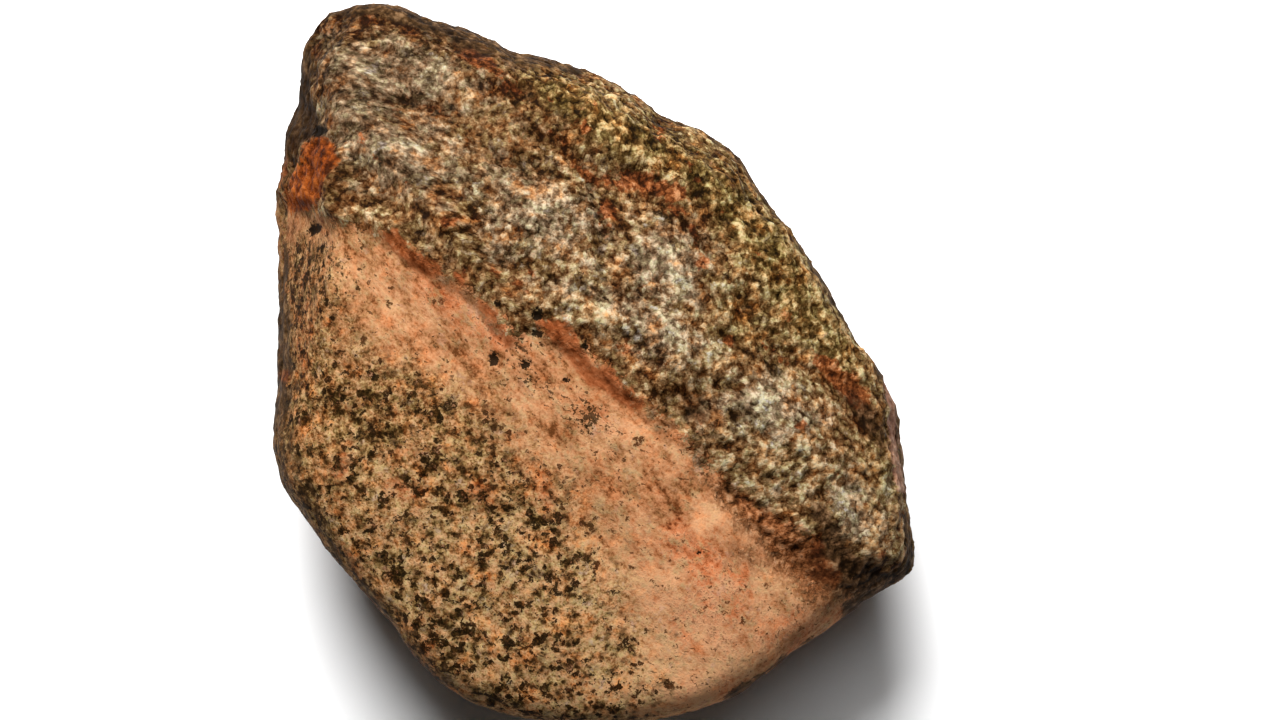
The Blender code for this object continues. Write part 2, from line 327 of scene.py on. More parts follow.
# line from the left edge past which the smooth face is speckled
BAND_EDGE = [(262, 240), (305, 236), (330, 262), (342, 300), (352, 338),
             (400, 352), (446, 372), (486, 398), (520, 432), (556, 470),
             (590, 510), (612, 556), (634, 600), (654, 650), (668, 740)]
# centre u, v, radii along and across, direction of the long one, weight
RED = [
    (482, 62, 40, 14, -32, 1.0), (522, 92, 18, 9, -30, 0.7), (375, 18, 52, 9, 0, 0.55),
    (360, 136, 11, 9, 0, 0.8), (379, 160, 12, 6, -45, 0.7), (440, 202, 8, 12, 0, 0.6),
    (444, 223, 10, 8, 0, 0.9), (466, 216, 18, 8, 30, 0.6), (492, 268, 16, 8, -62, 0.8),
    (519, 282, 16, 9, -60, 0.6), (530, 271, 11, 8, 0, 0.7), (551, 134, 17, 8, -32, 0.9),
    (584, 126, 14, 9, -45, 1.0), (594, 107, 9, 7, 0, 0.8), (590, 173, 24, 12, -12, 1.0),
    (607, 212, 14, 20, 0, 1.0), (640, 181, 36, 14, -4, 1.2), (674, 193, 26, 9, -8, 1.0),
    (700, 180, 11, 8, 0, 0.8), (672, 212, 14, 9, 0, 0.8), (694, 236, 28, 9, -72, 0.8),
    (700, 264, 9, 14, 0, 0.8), (660, 131, 10, 15, -20, 0.8), (681, 156, 20, 7, -45, 0.5),
    (725, 212, 11, 10, 0, 0.7), (730, 340, 9, 9, 0, 0.9), (645, 286, 19, 9, 28, 0.6),
    (772, 348, 24, 8, -38, 0.7), (742, 312, 20, 7, -45, 0.5), (846, 380, 34, 13, -38, 1.2),
    (860, 402, 26, 9, -58, 0.7), (842, 384, 26, 8, -38, 0.5), (822, 362, 14, 9, -20, 0.8), (802, 427, 9, 9, 0, 0.9),
    (798, 402, 9, 7, 0, 0.6), (826, 476, 12, 8, 0, 0.6), (823, 502, 10, 8, 0, 0.6),
    (816, 545, 15, 12, 0, 1.0), (828, 574, 22, 18, 0, 1.1), (795, 556, 12, 12, 0, 0.9),
    (775, 530, 44, 22, -40, 1.0), (806, 590, 30, 24, 0, 0.9), (742, 500, 24, 9, -40, 0.8), (706, 420, 15, 9, -40, 0.8),
    (672, 420, 13, 8, -20, 0.6), (690, 450, 11, 8, 0, 0.6), (480, 158, 34, 7, 28, 0.5),
    (412, 106, 54, 8, -8, 0.45), (285, 376, 12, 9, 0, 0.9), (300, 440, 12, 12, 0, 0.5),
    (288, 470, 12, 9, 0, 0.6), (880, 556, 14, 10, 0, 0.6), (755, 250, 14, 10, -40, 0.4),
    (790, 320, 16, 8, -50, 0.5), (620, 345, 30, 12, -30, 0.5)]
RELIEF_AND_PAINTED_LIGHT = [    # crests (+) and hollows (-) of the rough face: raised and sunk in the relief, and in the colour partly the grains' own tone, partly painted highlight on the crests and painted shade in the hollows
    (395, 44, 18, 9, 0, 1.0), (364, 74, 30, 12, -14, 0.9), (340, 110, 11, 18, 0, 0.8),
    (454, 74, 26, 15, -10, 0.9), (471, 100, 11, 13, 0, 1.0), (408, 150, 44, 16, -14, 0.8),
    (345, 146, 12, 16, 0, 0.6), (360, 216, 40, 12, -10, 0.9), (590, 94, 14, 11, 0, 0.8),
    (612, 101, 12, 9, 0, 1.0), (556, 200, 50, 26, -10, 0.9), (640, 245, 28, 18, -20, 0.8),
    (674, 268, 34, 15, -76, 1.1), (683, 355, 20, 9, -85, 1.1), (614, 314, 44, 10, -26, 0.9),
    (668, 320, 14, 18, 0, 0.5), (594, 321, 26, 9, -8, 1.3), (616, 326, 16, 7, -20, 0.6), (778, 386, 24, 18, 0, 0.6), (752, 402, 20, 14, 0, 0.7),
    (792, 440, 34, 14, -30, 0.9), (818, 466, 26, 9, -50, 0.7), (853, 505, 12, 18, -20, 0.6), (874, 540, 16, 16, 0, 1.0), (884, 558, 18, 12, 0, 0.9), (690, 131, 16, 8, -30, 1.2), (670, 176, 18, 8, -30, 0.8),
    (640, 160, 14, 8, 0, 0.8), (720, 150, 20, 8, -40, 0.5), (738, 222, 22, 8, -40, 0.6),
    (775, 300, 34, 9, -62, 0.5), (835, 320, 30, 7, -56, 0.7), (590, 272, 30, 14, 0, 0.4),
    (520, 242, 30, 9, -30, 0.3), (700, 330, 40, 10, -60, 0.35), (660, 300, 16, 10, 0, 0.6),
    (395, 14, 46, 10, -6, -1.0), (470, 48, 40, 12, -28, -0.9), (520, 95, 24, 10, -15, -1.0),
    (545, 138, 18, 13, -30, -0.9), (492, 88, 20, 10, -30, -0.6), (385, 101, 54, 7, -6, -0.7),
    (572, 152, 28, 12, -40, -0.8), (596, 200, 34, 12, -78, -1.0), (626, 166, 30, 9, -28, -0.7),
    (668, 208, 42, 12, -34, -1.0), (726, 208, 16, 14, 0, -0.8), (480, 265, 18, 13, 0, -1.0),
    (440, 236, 16, 10, 0, -0.7), (468, 232, 16, 8, 0, -0.6), (388, 158, 16, 8, 0, -0.5),
    (362, 132, 10, 8, 0, -0.6), (440, 190, 50, 9, -30, -0.5), (512, 158, 22, 9, 0, -0.8),
    (541, 322, 18, 10, 0, -0.9), (640, 346, 30, 10, -10, -0.7), (598, 352, 26, 10, -40, -0.7),
    (660, 121, 11, 11, 0, -0.9), (690, 150, 16, 8, 0, -0.5), (741, 310, 12, 18, 0, -0.8),
    (768, 356, 32, 14, -8, -1.1), (781, 270, 14, 22, 0, -0.6), (836, 380, 22, 12, -20, -0.9),
    (864, 420, 34, 18, -62, -1.1), (702, 417, 26, 12, 0, -1.0), (738, 416, 14, 10, 0, -1.0),
    (690, 394, 40, 10, -6, -0.8), (735, 492, 22, 13, -30, -0.7), (770, 516, 34, 11, -34, -0.8),
    (826, 500, 16, 8, -60, -0.8), (845, 566, 46, 20, -10, -1.2), (822, 540, 14, 12, 0, -1.0),
    (880, 572, 30, 12, 20, -1.0), (650, 390, 30, 14, -30, -0.6), (600, 235, 12, 22, 0, -0.6),
    (610, 260, 16, 10, 0, -0.5), (530, 268, 16, 8, 0, -0.5), (745, 440, 16, 24, -20, -0.5),
    (325, 32, 26, 18, 30, -0.7), (385, 20, 60, 14, 0, -0.6), (300, 62, 12, 26, 0, -0.4), (450, 32, 44, 16, -24, -0.5),
    (345, 84, 16, 16, 0, -0.6), (540, 85, 24, 10, 20, -0.3), (490, 152, 50, 14, -30, -0.35), (516, 166, 14, 12, 0, -0.3),
    (370, 156, 10, 24, 0, -0.3), (440, 202, 24, 10, 0, -0.35), (645, 214, 12, 14, 0, -0.4), (494, 240, 10, 20, 0, -0.3),
    (712, 230, 18, 24, 0, -0.35), (668, 306, 22, 12, 30, -0.4), (712, 336, 14, 12, 0, -0.4), (764, 270, 8, 12, 0, -0.4),
    (720, 166, 14, 16, 0, -0.5), (764, 376, 20, 14, 0, -0.5), (710, 416, 14, 12, 0, -0.5), (850, 490, 14, 11, 0, -0.7),
    (868, 514, 12, 14, 0, -0.4), (780, 486, 20, 16, 0, -0.3), (830, 316, 14, 14, 0, -0.4), (866, 416, 24, 14, -62, -0.5), (345, 88, 16, 8, 0, -0.5), (540, 174, 44, 10, -10, -0.6),
    (715, 256, 10, 16, 0, -0.6), (852, 490, 14, 10, 0, -0.9), (440, 96, 24, 10, -10, 0.7),
    (612, 130, 16, 14, 0, 0.9), (552, 296, 20, 12, -20, 0.6), (602, 312, 30, 9, -26, 0.4), (606, 299, 20, 8, -10, -1.0),
    (812, 262, 12, 36, 24, 0.8), (470, 256, 20, 10, -30, 0.5), (728, 312, 12, 10, 0, 0.5),
    (700, 470, 16, 20, -40, 0.5), (700, 364, 12, 10, 0, 0.5), (440, 180, 12, 10, 0, 0.7),
    (415, 42, 12, 10, 0, 0.4), (436, 95, 30, 14, 0, 0.8), (486, 84, 10, 10, 0, 0.5), (630, 122, 20, 18, 0, 0.6), (624, 160, 20, 12, -20, 0.5),
    (575, 88, 10, 14, 0, 0.4), (702, 160, 11, 20, 0, 0.5), (712, 210, 14, 10, 0, 0.5), (535, 222, 16, 12, 0, 0.4),
    (465, 258, 14, 12, 0, 0.4), (545, 270, 14, 16, 0, 1.0), (572, 304, 34, 11, -20, 0.8), (592, 318, 14, 10, 0, 0.5),
    (670, 226, 14, 12, 0, 0.4), (724, 322, 20, 14, -40, 1.1), (736, 280, 12, 14, 0, 0.6), (606, 280, 24, 8, 0, 0.3), (800, 246, 26, 12, -60, 0.5),
    (666, 390, 16, 10, 0, 0.8), (745, 455, 26, 20, 0, 0.3), (785, 445, 14, 12, 0, 0.3)]
FROST = [    # grey, frosted lobes
    (395, 72, 92, 40, -12, 1.0), (388, 152, 80, 40, -16, 1.0), (350, 95, 30, 40, 0, 0.5),
    (540, 208, 66, 42, -24, 0.85), (668, 262, 50, 40, -60, 0.9), (610, 300, 60, 26, -28, 0.6),
    (675, 340, 30, 40, -80, 0.7), (775, 405, 50, 36, -30, 0.8), (855, 510, 34, 40, -50, 0.7),
    (720, 410, 40, 24, 0, 0.5), (500, 245, 44, 18, -30, 0.4), (690, 470, 30, 24, -40, 0.4)]
OLIVE = [    # darker green-brown belt along the right edge
    (590, 108, 80, 26, -24, 0.7), (695, 168, 78, 34, -38, 1.0), (762, 240, 78, 38, -56, 1.0),
    (806, 312, 66, 38, -58, 1.0), (740, 320, 46, 30, -60, 0.7), (850, 360, 40, 22, -50, 0.7),
    (620, 140, 50, 24, -30, 0.8), (880, 470, 24, 60, 0, 0.5), (560, 90, 40, 20, -20, 0.6)]
STREAK = [(395, 72, 92, 44, -12, 1.1), (390, 152, 92, 44, -14, 1.1),
          (480, 130, 60, 30, -20, 0.8), (520, 180, 50, 20, -20, 0.4)]
CLUSTER = [  # where dark grains crowd together (+) or thin out (-)
    (362, 386, 26, 14, -10, 0.3), (345, 416, 20, 12, 0, 0.5), (372, 432, 22, 12, 0, 0.6),
    (432, 462, 22, 12, 0, 0.9), (384, 560, 34, 16, -40, 0.6), (470, 496, 28, 11, 0, 1.0),
    (506, 510, 18, 10, 0, 0.9), (560, 526, 20, 13, -10, 1.0), (570, 588, 20, 12, -20, 1.0),
    (440, 612, 24, 14, -30, 0.9), (498, 641, 34, 10, 0, 0.8), (546, 640, 16, 10, 0, 0.6),
    (610, 576, 9, 14, 0, 0.9), (520, 676, 22, 12, 0, 0.7), (590, 420, 20, 14, -20, 1.1),
    (554, 412, 12, 38, 0, -0.8), (620, 638, 24, 12, 0, 0.3), (300, 300, 14, 40, 90, 0.3),
    (404, 396, 16, 10, 0, 0.2), (440, 420, 16, 16, 0, 0.5), (320, 520, 30, 14, -40, 0.4),
    (520, 562, 18, 10, 0, 0.6), (452, 566, 20, 10, -30, 0.6), (505, 610, 20, 10, 0, 0.5),
    (416, 498, 16, 10, 0, -0.7), (340, 440, 22, 14, 0, -0.5), (430, 440, 20, 10, 0, -0.5),
    (350, 520, 30, 12, -40, -0.5), (500, 600, 18, 9, 0, -0.5), (585, 470, 30, 14, -50, -0.4),
    (640, 610, 14, 40, 0, -0.6), (320, 350, 24, 24, 0, -0.3), (490, 625, 14, 8, 0, -0.5),
    (530, 600, 20, 14, 0, 0.3), (480, 540, 40, 14, -20, 0.3), (446, 632, 26, 30, 0, 0.7),
    (404, 580, 24, 14, -40, 0.6), (424, 420, 26, 14, 0, 0.3), (650, 560, 20, 30, 0, -0.3),
    (322, 262, 24, 36, 0, 1.1), (300, 250, 14, 30, 0, 0.6), (432, 650, 30, 20, -30, 0.8), (345, 525, 14, 18, 20, 0.6), (530, 518, 14, 22, 0, 0.6), (541, 472, 12, 28, 0, 1.0), (465, 518, 14, 16, 0, 0.5), (454, 660, 18, 14, 0, 0.6), (318, 494, 16, 8, -40, 0.5),
    (372, 466, 26, 12, 0, 0.6), (330, 490, 12, 14, 0, 0.6), (400, 440, 20, 24, 0, 0.3), (440, 418, 24, 10, 0, 0.4),
    (395, 595, 18, 14, 0, 0.5), (460, 560, 30, 14, 0, 0.3), (592, 434, 14, 16, 0, 1.1), (502, 430, 12, 18, 0, 0.7),
    (560, 612, 16, 12, 0, 0.3), (505, 608, 20, 18, 0, -0.8), (586, 562, 14, 11, 0, -0.9), (592, 622, 24, 28, 0, -0.8),
    (480, 626, 12, 14, 0, -0.5), (330, 410, 16, 10, 0, -0.3)]
PALE_AND_LIT = [     # paler (+) and browner (-) clouds of the smooth face; the broad spots on its lower part are painted light where that face turns away from the lamps
    (554, 408, 13, 36, 0, 1.0), (650, 690, 90, 24, 0, 1.0), (799, 598, 16, 14, 0, 1.2), (518, 326, 14, 10, 0, 0.6),
    (325, 300, 16, 12, 0, 0.7), (341, 260, 12, 24, 0, -1.0), (690, 646, 80, 46, 0, 0.7), (600, 625, 30, 30, 0, 0.4),
    (352, 276, 34, 20, -30, 1.0), (386, 290, 20, 12, -30, 0.7), (420, 322, 50, 18, -35, 0.5),
    (470, 320, 26, 12, -40, 0.4), (560, 372, 30, 14, -50, 0.5), (590, 400, 30, 12, -45, 0.4),
    (640, 440, 30, 14, -40, 0.4), (700, 520, 30, 16, -50, 0.4), (640, 600, 16, 44, 0, 0.6),
    (700, 600, 24, 24, 0, 0.5), (730, 640, 30, 16, 0, 0.6), (690, 690, 34, 8, 0, 0.4),
    (600, 690, 40, 10, 0, 0.4), (715, 510, 20, 12, -40, 0.5), (300, 500, 10, 10, 0, 0.2),
    (420, 262, 30, 10, -36, -0.8), (440, 300, 20, 10, -20, -0.5), (500, 345, 20, 14, 0, -0.4),
    (560, 430, 20, 16, 0, -0.4), (660, 490, 30, 12, -40, -0.3), (700, 552, 22, 10, -30, -0.6),
    (790, 636, 26, 10, 30, -0.7), (740, 565, 20, 12, -30, -0.4), (616, 632, 16, 10, 0, -0.5),
    (770, 600, 30, 16, -50, -0.3), (640, 540, 20, 10, 0, -0.3), (640, 388, 10, 10, 0, -0.5)]
PINK = [     # pinker and redder tint of the smooth face
    (440, 300, 50, 18, -38, 0.8), (500, 330, 40, 16, -40, 0.8), (600, 410, 40, 14, -42, 0.5),
    (700, 556, 60, 26, -40, 1.0), (790, 630, 40, 26, 30, 0.8), (730, 600, 40, 40, 0, 0.6),
    (400, 490, 24, 14, 0, 0.8), (545, 490, 12, 26, 20, 0.8), (430, 452, 30, 10, 0, 0.5),
    (470, 490, 26, 10, 0, 0.5), (340, 470, 12, 22, 0, 0.6), (560, 660, 24, 14, 0, 0.5),
    (430, 645, 14, 26, 30, 0.7), (350, 560, 30, 12, -45, 0.5), (300, 330, 14, 60, 0, 0.5),
    (680, 690, 60, 10, 0, 0.6), (700, 470, 26, 16, -40, 0.5), (690, 615, 70, 48, -40, 0.5)]
FLECKS = [   # crowds of small dark flecks on the smooth face
    (316, 262, 34, 50, 0, 0.6), (334, 262, 26, 40, 0, 0.35), (356, 256, 16, 20, -30, 0.4), (345, 300, 26, 30, 0, 0.5), (690, 570, 70, 56, -40, -0.6), (300, 320, 18, 60, 0, 0.7), (520, 345, 26, 34, -45, 1.2), (530, 380, 12, 14, 0, 1.2),
    (545, 392, 40, 18, -30, 0.7), (590, 415, 26, 19, -20, 1.7), (664, 430, 26, 12, -40, 0.6),
    (704, 468, 44, 26, -45, 1.0), (735, 510, 34, 20, -40, 0.6), (778, 560, 34, 24, -50, 0.5),
    (806, 600, 26, 20, 20, 0.8), (478, 292, 16, 10, -30, 0.5),
    (350, 228, 26, 9, -20, 0.7), (700, 684, 60, 8, 0, 0.6), (690, 640, 24, 40, 0, 0.25),
    (420, 345, 30, 14, -20, 0.4), (640, 500, 34, 14, -40, 0.3), (790, 630, 30, 10, 30, 0.5)]
EARTH = [    # rusty brown grime that spreads from the scarp over the smooth face
    (792, 560, 40, 28, -50, 1.1), (818, 596, 24, 18, 20, 0.7), (752, 522, 44, 18, -38, 1.0),
    (712, 486, 30, 16, -40, 0.8), (740, 552, 26, 14, -40, 0.4), (836, 590, 24, 16, 20, 0.8), (745, 560, 30, 18, -40, 0.45),
    (430, 268, 46, 14, -38, 0.5), (478, 306, 34, 14, -40, 0.55), (350, 222, 34, 8, -18, 0.5),
    (700, 450, 40, 16, -45, 0.5), (664, 416, 26, 10, -35, 0.5),
    (764, 522, 46, 20, -38, 0.5), (800, 548, 28, 24, 0, 0.5), (788, 640, 40, 10, 30, 0.5), (292, 228, 16, 14, 0, 0.9), (286, 260, 12, 30, 0, 0.6),
    (560, 440, 26, 12, -40, 0.25), (640, 545, 26, 14, -40, 0.25)]
MURK_AND_SHADE = [     # blackish crust of the lower right corner; the spots between u 690 and 740 at v 396 to 416 are painted shade in the valley there
    (822, 516, 12, 22, 30, 1.0), (836, 546, 18, 14, -30, 1.1), (854, 567, 27, 13, -8, 1.1), (690, 396, 36, 12, -6, 0.5),
    (890, 584, 22, 7, 24, 1.0), (850, 590, 26, 12, 22, 1.0), (768, 508, 26, 8, -30, 0.6),
    (740, 414, 16, 12, 0, 0.6), (700, 416, 26, 10, 0, 0.8), (870, 418, 30, 13, -62, 0.9), (884, 450, 10, 30, 0, 0.4), (734, 492, 14, 8, -30, 0.5)]

side = line_side(SCARP, U, V)
rust = np.max([patch_depth(r, U, V) for r in RUST], axis=0)
flank_rust = np.max([patch_depth(r, U, V) for r in FLANK_RUST], axis=0)
pit = np.max([1.0 - np.hypot((U - a) / b, (V - d) / e) for a, d, b, e in PITS], axis=0)
edge_line = -line_side(BAND_EDGE, U, V)

ang = np.arctan2(smooth[:, 1], smooth[:, 0])
reach = np.interp(ang, RIM_ANG, RIM_RAD)
from_rim = (reach - np.hypot(smooth[:, 0], smooth[:, 1])) / UNIT
girth = 0.085 - 0.014 * np.sin(ang + 0.35) + 0.005 * np.sin(3 * ang + 1.1)
from_rim = np.where(smooth[:, 2] > girth, from_rim, -from_rim)
w1 = wander(smooth, 0.012, 3)
w2 = wander(smooth, 0.005, 4)
w3 = wander(smooth, 0.030, 21)
w4 = wander(smooth, 0.060, 22)


def arc(middle, half, soft):
    """1 within a sector of directions round the stone, fading past its ends."""
    off = np.abs(np.mod(np.degrees(ang) - middle + 180, 360) - 180)
    return ramp(half + soft, half, off)


# dark crust: how wide its rim is at each side of the stone, in view units
wide = (20 * arc(118, 26, 10) + 17 * arc(180, 26, 10) + 16 * arc(222, 24, 10)
        + 1 * arc(285, 34, 10) + 14 * arc(-31, 7, 5) + 3 * arc(20, 50, 12))
crust = ramp(8.0, -6.0, from_rim - wide + 7.0 * w1 + 5.0 * w2 + 6.0 * w3)
low = ramp(4.0, -14.0, from_rim)
patchy = ramp(-0.45, 0.35, w3 + 0.7 * w1 + 0.35 * w4 - 0.06)
crust = np.maximum(crust * (1 - 0.65 * low) * (1 - 0.45 * arc(230, 36, 12)), low * (0.36 + 0.50 * patchy))
crust = np.maximum(crust, bump_at(U, V, [(842, 574, 46, 18, -8, 1.1), (884, 584, 30, 7, 24, 1.0),
                                         (822, 552, 18, 14, 0, 0.7), (866, 414, 30, 14, -62, 0.9),
                                         (303, 62, 12, 48, 0, 1.0), (400, 12, 50, 10, -14, 0.8),
                                         (472, 42, 40, 10, -30, 0.9)]))
flank = patch_depth([(296, 56), (309, 84), (318, 112), (326, 128), (322, 140), (300, 141),
                     (284, 165), (262, 170), (262, 40)], U, V)
pink_side = ramp(-4, 4, patch_depth([(880, 370), (887, 390), (891, 430), (893, 462), (898, 492),
                                     (925, 500), (925, 370)], U, V))

red = bump_at(U, V, RED) + 0.9 * ramp(-3, 4, flank_rust + 5 * w2)
red += low * 0.8 * ramp(0.05, 0.45, wander(smooth, 0.026, 31))
# painted highlight on the rough face's crests and painted shade in its hollows, with three broad spots that lighten or
# darken whole lobes
painted_light_and_shade = bump_at(U, V, RELIEF_AND_PAINTED_LIGHT) + bump_at(U, V, [
    (400, 90, 90, 60, -10, -0.40), (668, 280, 60, 40, -60, 0.3), (550, 230, 80, 50, -30, 0.15)])
# painted light: the rough face made lighter towards the right and the bottom, where its top turns away from the lamps
painted_light_and_shade += 0.10 + 0.15 * np.clip((U - 600) / 200, -1.5, 1.5) + 0.32 * np.clip((V - 250) / 200, -1.5, 1.2)
frost = np.clip(bump_at(U, V, FROST), 0, 1)
olive = np.clip(bump_at(U, V, OLIVE), 0, 1)
streak = np.clip(bump_at(U, V, STREAK), 0, 1)
dens = np.maximum(ramp(-34, 44, edge_line + 16 * w1 + 9 * w2 + 16 * w3), ramp(-2, -22, from_rim + 6 * w1))
cluster = bump_at(U, V, CLUSTER)
flecks = bump_at(U, V, FLECKS)
over = side + 10.0 * bump_at(U, V, [   # where the dark crust laps over the smooth face, or is bitten into
    (738, 508, 46, 22, -42, 1.8), (784, 556, 42, 28, -52, 2.4), (812, 596, 24, 22, 0, 1.6),
    (700, 462, 18, 12, -40, 0.9), (668, 424, 14, 8, -30, -0.8), (716, 478, 12, 8, 20, -0.8),
    (520, 318, 12, 16, -50, 0.7), (452, 262, 14, 8, -30, 0.6), (640, 398, 12, 8, -30, 0.7),
    (340, 214, 16, 7, -15, 0.8), (480, 286, 10, 8, -50, 0.5), (760, 536, 8, 16, -60, -0.9)])
earth = bump_at(U, V, EARTH)
murk_and_shade = bump_at(U, V, MURK_AND_SHADE)
# paler clouds, plus a rise towards the bottom that is painted light where the smooth face turns away from the lamps;
# this also lifts the smooth face a little
pale_and_lit = bump_at(U, V, PALE_AND_LIT) + 1.0 * ramp(380, 600, V)
pink = bump_at(U, V, PINK)


# ------------------------------------------------- fine shape of the surface
def plates(p, size, seed):
    """Tilted facets of broken grains: height and nearness to a joint, 0 to 1."""
    shift = Vector((seed * 5.71, seed * 2.33, seed * 9.17))
    tall, joint = np.empty(len(p)), np.empty(len(p))
    for i, q in enumerate((p / size).tolist()):
        q = Vector(q) + shift
        dist, centres = noise.voronoi(q)
        r = noise.cell_vector(centres[0] * 41.0)
        t = noise.cell_vector(centres[0] * 23.0 + Vector((9.0, 5.0, 3.0)))
        tall[i] = (r.x - 0.5) + (q - centres[0]).dot(t - Vector((0.5, 0.5, 0.5))) * 1.5
        joint[i] = dist[1] - dist[0]
    return tall, np.clip(1.0 - joint / 0.30, 0.0, 1.0)


rough = ramp(-6.0, 5.0, side + 5.0 * w1 + 3.0 * w2)
tall, joint = plates(smooth, 0.0042, 5)
tall2, joint2 = plates(smooth, 0.0088, 6)
mid = wander(smooth, 0.0075, 41)
tiny = wander(smooth, 0.0032, 42)
lump = wander(smooth, 0.017, 43)
bent_at = smooth + 0.004 * np.stack([wander(smooth, 0.014, k) for k in (44, 45, 46)], axis=1)
fold_a = math.radians(-14.0)
along = bent_at[:, 0] * math.cos(fold_a) + bent_at[:, 1] * math.sin(fold_a)
cross = -bent_at[:, 0] * math.sin(fold_a) + bent_at[:, 1] * math.cos(fold_a)
fold = wander(np.stack([along / 2.6, cross, bent_at[:, 2]], axis=1), 0.0075, 47)
fold = 0.7 - 2.2 * np.abs(fold)
calm = 1.0 - 0.45 * np.clip(crust, 0, 1)
grains = (1.15 * tall + 0.75 * tall2 - 0.55 * joint - 0.55 * joint2 * joint2
          + 0.85 * mid + 0.45 * tiny)
swell = wander(smooth, 0.034, 48)
inland = ramp(0.0, 30.0, np.abs(from_rim))
lump, swell = lump * (0.3 + 0.7 * inland), swell * inland
fine = rough * calm * ((1 - 0.55 * streak) * grains + 1.3 * streak * fold + 1.7 * lump + 1.6 * swell)
fine += (1 - rough) * (0.26 * mid + 0.16 * tiny + 0.16 * tall2 + 0.6 * lump + 0.5 * swell)
fine += (1 - rough) * np.clip(crust + low, 0, 1) * (0.8 * mid + 0.5 * tall2)
fine += (1 - rough) * dens * calm * (0.16 * tall - 0.10 * joint)
broad = rough * 1.9 * ramp(3.0, 26.0, from_rim) * bump_at(U, V, RELIEF_AND_PAINTED_LIGHT) + 0.25 * pale_and_lit * (1 - rough)
hole = -1.5 * ramp(-0.05, 0.75, pit)
depth = (fine + broad) * ramp(0.0, 0.004, smooth[:, 2]) + hole
pos += normal * depth[:, None] * 1e-3
# painted relief shade: the grain relief copied into the colour, grain tops lighter and joints darker
painted_relief_shade = np.clip(rough * ((1 - 0.5 * streak) * grains + streak * fold) + 0.15, -1.2, 1.2)

c, s = math.cos(TURN), math.sin(TURN)
row = np.stack([c * pos[:, 0] - s * pos[:, 1] - SHIFT[0],
                s * pos[:, 0] + c * pos[:, 1] - SHIFT[1],
                np.maximum(pos[:, 2], 0.0)], axis=1)
row[:, 2] = np.where(smooth[:, 2] < 2e-5, 0.0, row[:, 2])


def octaves(p, size, seed):
    return wander(p, size, seed) + 0.6 * wander(p, size / 2, seed + 50)


# broad patterns of the minerals, and the swirl of the streaked lobes
drift8, drift5 = octaves(smooth, 0.008, 61), octaves(smooth, 0.005, 62)
drift11, blot = octaves(smooth, 0.011, 63), octaves(smooth, 0.006, 64)
ochre_at, tint_at = octaves(smooth, 0.006, 65), octaves(smooth, 0.008, 66)
brush_a = math.radians(-48.0)
cloud_at = octaves(np.stack([
    (smooth[:, 0] * math.cos(brush_a) + smooth[:, 1] * math.sin(brush_a)) / 2.2,
    -smooth[:, 0] * math.sin(brush_a) + smooth[:, 1] * math.cos(brush_a), smooth[:, 2]], axis=1), 0.009, 67)
swirl = skin + 8.0 * np.stack([octaves(smooth, 0.011, k) for k in (71, 72, 73)], axis=1)

mesh = bpy.data.meshes.new("meteorite")
mesh.from_pydata(row.tolist(), [], quads.tolist())
mesh.update()


def store(name, a, b, c):
    att = mesh.attributes.new(name, "FLOAT_VECTOR", "POINT")
    att.data.foreach_set("vector", np.stack([a, b, c], axis=1).astype(np.float32).ravel())


store("skin", skin[:, 0], skin[:, 1], skin[:, 2])
store("zone_edge", over / 10.0, rust / 10.0, pit)
store("zone_rough", painted_light_and_shade, red, frost)
store("zone_grain", olive, streak, painted_relief_shade)
store("zone_smooth", dens, cluster, pale_and_lit)
store("zone_skin", crust, pink, np.maximum(ramp(-5, 5, flank), 0))
store("zone_more", pink_side * (1 - low), low, flank_rust / 10.0)
store("zone_grime_and_shade", flecks, earth, murk_and_shade)
store("drift", drift8, drift5, drift11)
store("blots", blot, ochre_at, tint_at)
store("clouds", cloud_at, w1, w2)
store("swirl", swirl[:, 0], swirl[:, 1], swirl[:, 2])
# flat map of the skin: each side of the grid has its own rectangle, in 1024ths
SHEET = [(571, 3, 450, 332, True), (571, 341, 450, 332, False), (3, 411, 562, 302, False),
         (3, 719, 562, 302, True), (571, 679, 450, 342, True), (3, 3, 562, 402, False)]
i, j = np.meshgrid(np.arange(CELLS), np.arange(CELLS), indexing="ij")
corners = (np.stack([i, j], axis=-1).reshape(-1, 1, 2)
           + np.array([(0, 0), (1, 0), (1, 1), (0, 1)])) / CELLS
sheet = []
for x0, y0, w, h, turned in SHEET:
    a, b = corners[..., 0], corners[..., 1]
    if turned:
        a, b = b, 1.0 - a
    sheet.append(np.stack([(x0 + w * a) / 1024, (y0 + h * b) / 1024], axis=-1))
uv = mesh.uv_layers.new(name="OFBake")
uv.data.foreach_set("uv", np.concatenate(sheet).astype(np.float32).ravel())
mesh.shade_smooth()
stone = bpy.data.objects.new("meteorite", mesh)
bpy.context.scene.collection.objects.link(stone)


